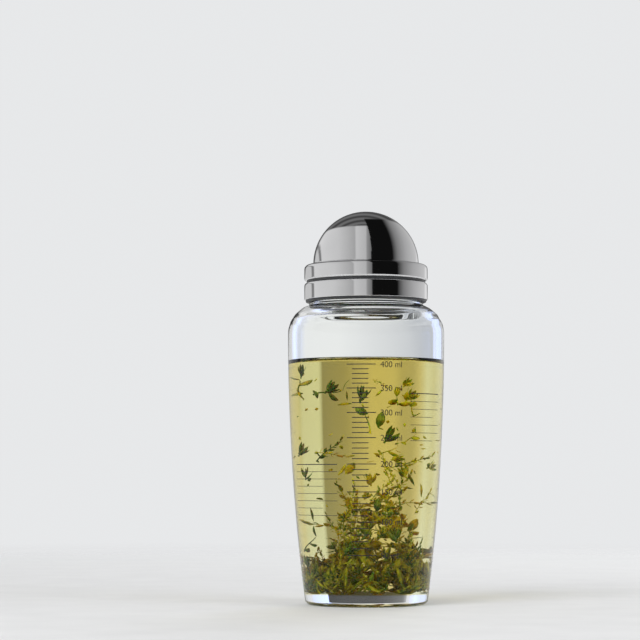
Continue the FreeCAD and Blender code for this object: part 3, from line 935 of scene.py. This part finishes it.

# %% [markdown]
# Where the herbs lie: some sprigs are placed one by one, most of them near the front wall, where they can be
# recognised. The rest are drawn at random with a fixed seed: a few that drift, and a heap on the floor that
# is dense below, loose on top, and highest right of the middle. Then every vertex is kept inside the bottle,
# so that leaves lie against the glass instead of piercing it.

# %% Herbs placed one by one
# x, height, depth from the front wall (mm), three turns (degrees), size
FRESH_HERBS = dict(
    leaf_crown=[
        (-3, 103.5, 3, 5, 0, 20, 1.35), (8.5, 83.5, 3, 10, 32, 60, 1.45), (-29.5, 117, 4, 20, -20, 0, 1.1),
        (-18.5, 109, 8, 0, 40, 30, 1.2), (-30, 77, 3.5, 0, 30, 20, 1.2), (-27.5, 65, 3, 0, -35, 60, 1),
        (-25, 19, 3, 0, -30, 0, 1.2), (-10, 27, 2.5, 0, 20, 0, 1.1), (14, 33, 3, 0, -25, 0, 1.2)],
    oval_leaf=[(5.8, 91, 1.5, 4, 14, 10, 1), (1, 98, 1.5, 4, -68, 0, 0.85), (5, 48.5, 1.5, 6, 8, 0, 0.85)],
    narrow_leaf=[(-9, 105, 2, 0, -6, 0, 0.6), (22, 62, 4, 0, -24, 0, 0.9), (-24, 44, 3, 0, -20, 0, 0.9)],
    oval_pair=[(-23, 108.5, 9, 10, 60, 0, 1.2), (-27, 28, 2.5, 0, 20, 0, 1)],
    thyme_twig=[(-20, 75, 12, 40, 20, 0, 1), (-8, 25, 3, 0, 15, 0, 1), (19, 21, 3, 0, 25, 0, 1)])
OLD_HERBS = dict(
    bare_twig=[(2, 88, 1.5, 0, -4, 190, 0.75)],
    narrow_leaf=[(4.5, 107, 2, 10, 48, 0, 0.7)],
    oval_leaf=[(-8, 68, 22, 0, 30, 0, 0.8)],
    oval_pair=[
        (14, 103, 10, 0, 40, 100, 0.9), (16, 84, 14, 20, 30, 0, 0.7), (17, 98, 20, 0, -30, 40, 0.8),
        (4, 77, 20, 0, 40, 0, 0.9)],
    leaf_crown=[
        (16.5, 112, 9, 0, 30, 0, 0.9), (11, 75, 9, 0, 70, 0, 1), (17, 66, 12, 0, -40, 0, 1),
        (15.5, 105, 18, 0, 20, 0, 1.1), (25, 71, 8, 0, 60, 0, 1), (2, 62, 20, 0, -20, 0, 1)],
    thyme_twig=[
        (3, 115.5, 9, 10, 100, 0, 0.5), (12, 62, 8, 15, -35, 0, 1), (8, 70, 12, 10, 60, 0, 0.9),
        (2, 54, 6, 0, 25, 0, 0.9), (15, 52, 6, 0, 10, 90, 0.9), (-6, 48, 8, 0, -15, 0, 0.9),
        (20, 48, 10, 0, 20, 40, 0.8), (-12, 40, 8, 0, 10, 0, 0.9), (9, 44, 4, 0, -12, 60, 1),
        (-20, 79, 14, 0, 80, 0, 0.8), (12, 72, 22, 0, 50, 0, 0.9)])


def placed_rows(herbs):
    rows = []
    for kind, (x, height, depth, *turn, size) in ((kind, spot) for kind in herbs for spot in herbs[kind]):
        wall = bore_at(height * MM) - depth * MM
        y = -math.sqrt(max(wall * wall - (x * MM) ** 2, 0.0))
        rows.append(((x * MM, y, height * MM), list(map(math.radians, turn)), kind_number[kind], size))
    return rows


fresh_rows = placed_rows(FRESH_HERBS)
old_rows = placed_rows(OLD_HERBS)
print(len(fresh_rows), "fresh and", len(old_rows), "old sprigs placed by hand")

# %% Random herbs and heap
DRIFTING = dict(thyme_twig=3, oval_pair=2, narrow_leaf=5, crumb=50)
HEAP = dict(thyme_twig=120, leaf_crown=70, oval_pair=24, oval_leaf=90, narrow_leaf=50, crumb=260, bare_twig=3)
HEAP_LOW, HEAP_RISE = 17 * MM, 40 * MM
HEAP_BOTTOM = FLOOR + 1.5 * MM
HEAP_RADIUS = FLOOR_RADIUS - 1.0 * MM
HEAP_PACKING = 1.5
MOUND_X, MOUND_Y = 3 * MM, -4 * MM
MOUND_WIDTH, MOUND_DEPTH = 13 * MM, 30 * MM
DRIFT_HEIGHTS = (50 * MM, 118 * MM)
HERB_SIZES = (0.65, 1.15)
LEAN = 0.7
chance = random.Random(24)


def heap_top(x, y):
    """Height of the heap: low along the wall, with a steep mound a little right of the middle."""
    away = math.hypot((x - MOUND_X) / MOUND_WIDTH, (y - MOUND_Y) / MOUND_DEPTH)
    return HEAP_LOW + HEAP_RISE * math.exp(-away ** 4)


def random_rows(counts, in_heap):
    rows = []
    for kind in (kind for kind, count in counts.items() for _ in range(count)):
        reach, angle = math.sqrt(chance.random()), chance.uniform(0.0, 2 * math.pi)
        x, y = (reach * HEAP_RADIUS * trig(angle) for trig in (math.cos, math.sin))
        if in_heap:
            height = HEAP_BOTTOM + (heap_top(x, y) - FLOOR) * chance.random() ** HEAP_PACKING
        else:
            height = chance.uniform(*DRIFT_HEIGHTS)
        turn = [chance.gauss(0.0, LEAN), chance.gauss(0.0, LEAN), chance.uniform(0.0, 2 * math.pi)]
        wider = bore_at(height) / FLOOR_RADIUS
        rows.append(((x * wider, y * wider, height), turn, kind_number[kind], chance.uniform(*HERB_SIZES)))
    return rows


old_rows += random_rows(DRIFTING, False) + random_rows(HEAP, True)
print(len(old_rows), "herbs drift or lie in the heap")

# %% Scatter the herbs
HERB_GAP = 0.5 * MM
HERB_EDGE = 0.4 * MM
FLOOR_CORNER = 1.2 * MM


def keep_inside(mesh):
    """Push vertices that would pierce the glass back into the dressing."""
    for vertex in mesh.vertices:
        spot = vertex.co
        spot.z = min(max(spot.z, FLOOR + HERB_EDGE), LEVEL - HERB_EDGE)
        limit = bore_at(max(spot.z, FLOOR + FLOOR_CORNER)) - HERB_GAP
        reach = math.hypot(spot.x, spot.y)
        if reach > limit:
            spot.x, spot.y = spot.x * limit / reach, spot.y * limit / reach


def scatter(name, rows, material):
    points = points_with(name, rows, turn="FLOAT_VECTOR", kind="INT", size="FLOAT")
    mesh = run_tree(scatter_tree, points, Kinds=herb_kinds, Material=material)
    keep_inside(mesh)
    mesh.shade_smooth()
    place(name, mesh, material, "bottle")


scatter("fresh_herbs", fresh_rows, fresh_green)
scatter("herb_heap", old_rows, olive_green)
for source in list(herb_kinds.objects):
    bpy.data.objects.remove(source)
bpy.data.collections.remove(herb_kinds)

# %% [markdown]
# ## Printed scale
# The scale is printed in black enamel and fired onto the glass. Its heights follow from the bottle itself:
# the inside is summed up in thin slices, and each mark stands where the sum reaches its volume, so the marks
# move apart towards the narrow foot. A tree sets one flat bar on each point. All of it is drawn flat and then
# wound round the glass, so that strokes lie on the surface and foreshorten at the sides.

# %% Volume marks
MILLILITRE = 1e-6
MARKS, NUMBERED = range(50, 401, 10), range(50, 401, 50)
SLICES = 400
SLICE = (LEVEL + 10 * MM - FLOOR) / SLICES

inside = [(0.0, FLOOR)]
for step in range(1, SLICES + 1):
    volume, low = inside[-1]
    high = FLOOR + SLICE * step
    inside.append((volume + math.pi * bore_at((high + low) / 2) ** 2 * (high - low), high))
mark_heights = {volume: between(inside, volume * MILLILITRE) for volume in MARKS}
print("marks in mm:", {volume: round(mark_heights[volume] / MM, 1) for volume in NUMBERED})

# %% Bars
INK_DEPTH = 0.05 * MM
STROKE = 0.45 * MM
THIN_STROKE = 0.55 * STROKE
# left and right end (mm)
LONG_MARK, SHORT_MARK = (-9.9, 5.0), (-7.2, 1.2)
# left, right, top (mm), lines, step (mm)
RULED_BLOCKS = ((24.0, 47.0, 108.5, 7, 4.0), (-46.0, -15.0, 72.5, 8, 3.7))
SHORT_LINE = 0.72


def make_bar_tree():
    tree, given = new_tree("printed_bars", "Depth")
    bar = add(tree, "GeometryNodeMeshCube", {"Size": WHITE, "Vertices X": 12})
    size = vector(tree, X=said(tree, "reach", "FLOAT"), Y=given["Depth"], Z=said(tree, "stroke", "FLOAT"))
    bars = add(tree, "GeometryNodeInstanceOnPoints", {
        "Points": given["Geometry"], "Instance": bar, "Scale": size})
    return end_tree(tree, given, bars)


def bar_row(left, right, height, stroke):
    return ((left + right) / 2 * MM, 0.0, height), (right - left) * MM, stroke


def bar_rows():
    rows = []
    for volume, height in mark_heights.items():
        rows.append(bar_row(*(LONG_MARK if volume in NUMBERED else SHORT_MARK), height, STROKE))
    for left, right, top, count, step in RULED_BLOCKS:
        rows.append(bar_row(left, right, top * MM, STROKE))
        for line in range(1, count):
            end = right if line % 3 else left + (right - left) * SHORT_LINE
            rows.append(bar_row(left, end, (top - step * line) * MM, THIN_STROKE))
    return rows


bar_points = points_with("bars", bar_rows(), reach="FLOAT", stroke="FLOAT")
print(len(bar_points.vertices), "bars")

# %% Ink and numbers
NUMBER_SIZE = 4.3 * MM
NUMBER_LEFT = 7.2 * MM
HALF_DIGIT = 0.35 * NUMBER_SIZE


def number_mesh(words, height):
    """Flat lettering that stands upright in front of the bottle."""
    curve = bpy.data.curves.new("number", "FONT")
    curve.body, curve.size, curve.extrude = words, NUMBER_SIZE, INK_DEPTH / 2
    mesh = frozen(linked("number", curve))
    upright = Matrix.Rotation(math.pi / 2, 4, "X")
    mesh.transform(Matrix.Translation((NUMBER_LEFT, 0.0, height - HALF_DIGIT)) @ upright)
    return mesh


black_enamel, tree, shader = finish_named("black_enamel", Roughness=0.4)
grain = object_noise(tree, 1500.0, detail=2.0)
plug(shader, Base_Color=ramp(tree, grain, (0.35, (0.010, 0.010, 0.011)), (0.7, (0.026, 0.026, 0.028))),
     Normal=bump(tree, grain, 0.3, 0.02 * MM))
print_meshes = [run_tree(make_bar_tree(), bar_points, Depth=INK_DEPTH, Material=black_enamel)]
print_meshes += [number_mesh(f"{volume} ml", mark_heights[volume]) for volume in NUMBERED]
print("lettering and bars:", sum(len(mesh.polygons) for mesh in print_meshes), "faces")

# %% Wind the print round the glass
def wound(meshes, name):
    """One mesh of several flat ones, wound round the front of the bottle."""
    joined = bmesh.new()
    for mesh in meshes:
        joined.from_mesh(mesh)
    for vertex in joined.verts:
        x, depth, height = vertex.co
        radius = side_at(height, BODY_RADIUS, SIDE_ARC)
        angle = x / radius
        radius += 0.5 * INK_DEPTH - depth
        vertex.co = (radius * math.sin(angle), -radius * math.cos(angle), height)
    result = bpy.data.meshes.new(name)
    joined.to_mesh(result)
    joined.free()
    return result


place("printed_scale", wound(print_meshes, "printed_scale"), black_enamel, "bottle")

# %% [markdown]
# ## Floor and background
# The bottle stands on a plain pale floor. The world is plain too: pale where a camera, glossy or transmitted
# ray looks at it, and dimmer as ambient light, so that pale walls don't flood the object. The floor fades
# into that background with distance, which leaves the bottle's shadow and no horizon.

# %% Floor
STUDIO_RADIUS = 1.3
FADE_START, FADE_END = 0.12, 0.9 * STUDIO_RADIUS


def on_stage(name, mesh, material):
    """A piece of the studio, which isn't part of the object."""
    piece = linked(name, mesh)
    mesh.materials.append(material)
    return piece


floor_finish, tree, shader = finish_named("floor", Roughness=0.6)
grain = object_noise(tree, 30.0, detail=5.0)
plug(shader, Base_Color=ramp(tree, grain, (0.3, (0.70, 0.705, 0.71)), (0.7, (0.74, 0.745, 0.75))))
far = add(tree, "ShaderNodeVectorMath", {0: object_place(tree)}, "Value", operation="LENGTH")
fade = spread(tree, far, 0.0, 1.0, FADE_START, FADE_END, interpolation_type="SMOOTHSTEP")
see_through(tree, shader, fade)
on_stage("floor", turned("floor", outline((STUDIO_RADIUS, 0.0), (0.0, 0.0))), floor_finish)

# %% Background
BACKGROUND = (0.80, 0.81, 0.82)
AMBIENT = 0.42

scene.world = bpy.data.worlds.new("studio")
scene.world.use_nodes = True
tree = scene.world.node_tree
ray = add(tree, "ShaderNodeLightPath").node.outputs
seen = maths(tree, "MAXIMUM", ray["Is Camera Ray"], ray["Is Glossy Ray"])
seen = maths(tree, "MAXIMUM", seen, ray["Is Transmission Ray"])
dim = add(tree, "ShaderNodeBackground", {"Color": (*WHITE, 1.0), "Strength": AMBIENT})
pale = add(tree, "ShaderNodeBackground", {"Color": (*BACKGROUND, 1.0), "Strength": 1.0})
plug(tree.nodes["World Output"], Surface=add(tree, "ShaderNodeMixShader", {0: seen, 1: dim, 2: pale}))
scene.view_settings.view_transform = "Standard"
print("background ready")

# %% [markdown]
# ## Lamps
# Three soft lamps: a key from the front left, a weaker fill from the right, and one from behind that shines
# through the dressing. Polished steel would show each lamp as a white patch, so the lamps are left out of
# reflections, and the next cells give the steel something quieter to mirror.

# %% Lamps
LAMP_AIM = Vector((0.0, 0.0, 0.09))


def hide_from(thing, *rays):
    for ray in rays:
        setattr(thing, f"visible_{ray}", False)


def soft_lamp(name, where, watts, size):
    lamp = linked(name, bpy.data.lights.new(name, "AREA"))
    lamp.data.energy, lamp.data.shape, lamp.data.size = watts, "DISK", size
    lamp.location = where
    lamp.rotation_euler = (LAMP_AIM - lamp.location).to_track_quat("-Z", "Y").to_euler()
    hide_from(lamp, "camera", "glossy", "transmission")
    print(name, watts, "W")


soft_lamp("key", (-0.7, -0.9, 1.1), 14.0, 0.8)
soft_lamp("fill", (0.9, -0.6, 0.7), 5.0, 0.8)
soft_lamp("back", (0.25, 0.9, 0.8), 6.0, 0.6)

# %% [markdown]
# ## What the steel mirrors
# Steel looks like steel through the contrast of what it mirrors. A photographer puts cards round the piece:
# pale ones on the left, a tall black flag to the right of the camera, a darker ceiling with beams. Here they
# are painted on a dome that only reflections see. A direction is named by the place on a round mirror where
# the camera sees it, across and up from the middle, each from -1 to 1. That is the direction halfway between
# it and the camera, so the numbers can be read straight off the cap.

# %% Dome helper
DOME_DISTANCE = 1.5
DOME_MIDDLE = 0.18
DOME_RISES = range(-14, 91, 2)


def card(name, mesh, tones, unseen_by):
    """A glowing card of the studio with a tone at each vertex, which neither camera nor lamps notice."""
    for item, tone in zip(mesh.attributes.new("tone", "FLOAT_COLOR", "POINT").data, tones):
        item.color = (*tone, 1.0)
    material, tree, shader = finish_named(name)
    tree.nodes.remove(shader)
    tone = add(tree, "ShaderNodeAttribute", output="Color", attribute_name="tone")
    glow = add(tree, "ShaderNodeEmission", {"Color": tone, "Strength": 1.0})
    plug(tree.nodes["Material Output"], Surface=glow)
    hide_from(on_stage(name, mesh, material), "camera", "diffuse", "shadow", "volume_scatter", unseen_by)
    print(name, "has", len(mesh.polygons), "panels")


def studio_dome(name, tone_towards, unseen_by):
    """A dome on the floor whose tone at each vertex comes from a function of the direction."""
    spokes = [Vector((math.cos(rise), math.sin(rise))) for rise in map(math.radians, DOME_RISES)]
    points = [DOME_DISTANCE * spoke + Vector((0.0, DOME_MIDDLE)) for spoke in spokes]
    mesh = turned(name, points, segments=240)
    directions = [vertex.co - Vector((0.0, 0.0, DOME_MIDDLE)) for vertex in mesh.vertices]
    card(name, mesh, [tone_towards(direction.normalized()) for direction in directions], unseen_by)


print("dome helper ready")

# %% Cards for the reflections
# across the mirror, grey
LEFT_CARDS = [(-1.0, 0.4), (-0.96, 0.66), (-0.875, 0.7), (-0.86, 0.25), (-0.835, 0.25), (-0.82, 0.82),
              (-0.5, 0.72), (-0.2, 0.48), (-0.18, 0.72), (0.0, 0.6), (0.02, 0.36), (0.1, 0.2)]
# right of the black flag, grey
RIGHT_CARDS = [(0.0, 0.006), (0.1, 0.26), (0.25, 0.5), (0.43, 0.7), (0.46, 0.95), (0.5, 0.45)]
FLAG_GREY, RIM_GREY = 0.006, 0.10
# left and right edge of the flag: place at the bottom, lean to the left at the top, bend of the lean
FLAG_EDGES = ((0.10, 0.12, 3.0), (0.50, 0.21, 2.2))
FLAG_TOP = 0.8
CEILING_GREY, BEAM_GREY = 0.13, 0.07
BEAM_STEP, BEAM_SLANT = 0.09, 4.0
LEFT_WALL_TOP, RIGHT_WALL_TOP = 0.69, 0.83
LEFT_RIM, RIGHT_RIM = 0.95, 0.97
RIM_LOW, RIM_PARTING = 0.2, 0.3
WALL_BLUR, RIM_BLUR = 0.012, 0.025


def mirrored(towards):
    """Grey that a round mirror shows, by the place where the camera sees it."""
    halfway = (towards + Vector((0.0, -1.0, 1e-4))).normalized()
    across, up = halfway.x, max(halfway.z, 0.0)
    rim = math.hypot(across, up)
    flag_left, flag_right = (foot - lean * (up / FLAG_TOP) ** bend for foot, lean, bend in FLAG_EDGES)
    ceiling = CEILING_GREY + BEAM_GREY * math.sin(2 * math.pi * rim / BEAM_STEP + BEAM_SLANT * across)
    if across > flag_right:
        wall, top = between(RIGHT_CARDS, across - flag_right), RIGHT_WALL_TOP
    elif across > flag_left:
        wall, top = FLAG_GREY, RIGHT_WALL_TOP
    else:
        wall, top = between(LEFT_CARDS, across), LEFT_WALL_TOP
    grey = between([(top - WALL_BLUR, wall), (top + WALL_BLUR, ceiling)], up)
    if up > RIM_LOW:
        edge = LEFT_RIM if across < RIM_PARTING else RIGHT_RIM
        grey = between([(edge, grey), (edge + RIM_BLUR, RIM_GREY)], rim)
    return grey, grey, grey


studio_dome("mirror_dome", mirrored, "transmission")

# %% [markdown]
# ## What the dressing shows
# A full bottle is a strong lens: it shows what stands behind it mirrored, squeezed into a narrow upright
# picture. An even background would make it look like flat yellow paint. So a second dome, which only rays
# through glass see, has a dim stretch behind to the right, which shows as the olive zone left of the scale,
# and cool bright strips further round, which show as the pale sides. A low dark strip right behind the foot
# makes the thick glass there dark in the middle and bright at its sides.

# %% Backdrop for the glass
# degrees to the right of straight behind, tone
BACKDROP = [
    (-180, BACKGROUND), (-75, BACKGROUND), (-60, (0.94, 1.05, 1.45)), (-48, (0.85, 0.93, 1.20)),
    (-38, (0.94, 1.07, 1.65)), (-30, (0.80, 0.80, 0.84)), (-25, (0.64, 0.64, 0.65)),
    (-18, (0.66, 0.66, 0.67)), (-13, (0.84, 0.835, 0.83)), (-3, (0.85, 0.845, 0.84)),
    (10, (0.50, 0.51, 0.55)), (23, (0.40, 0.42, 0.47)), (24.5, (0.90, 1.05, 1.70)),
    (43, (0.82, 0.92, 1.20)), (50, (0.82, 0.84, 0.90)), (75, BACKGROUND), (180, BACKGROUND),
]


def backdrop(towards):
    behind = math.degrees(math.atan2(towards.x, towards.y))
    return [between([(angle, tone[channel]) for angle, tone in BACKDROP], behind) for channel in range(3)]


studio_dome("glass_dome", backdrop, "glossy")

# %% Dark strip behind the foot
# share of the strip from left to right, grey
STRIP_GREYS = [(0.0, 0.40), (0.1, 0.17), (0.45, 0.08), (1.0, 0.06)]
STRIP_PANELS = 24


def foot_strip(distance, height, left, right):
    """A low upright strip on the floor, bent round the back of the bottle; left and right in degrees."""
    verts, tones = [], []
    for share in (step / STRIP_PANELS for step in range(STRIP_PANELS + 1)):
        angle = math.radians(left + (right - left) * share)
        x, y = distance * math.sin(angle), distance * math.cos(angle)
        verts += [(x, y, 0.0), (x, y, height)]
        grey = between(STRIP_GREYS, share)
        tones += [[2 * grey] * 3, [grey] * 3]
    panels = [(2 * i, 2 * i + 2, 2 * i + 3, 2 * i + 1) for i in range(STRIP_PANELS)]
    card("foot_strip", mesh_of("foot_strip", verts, panels), tones, "glossy")


foot_strip(distance=0.06, height=0.011, left=-8, right=7)
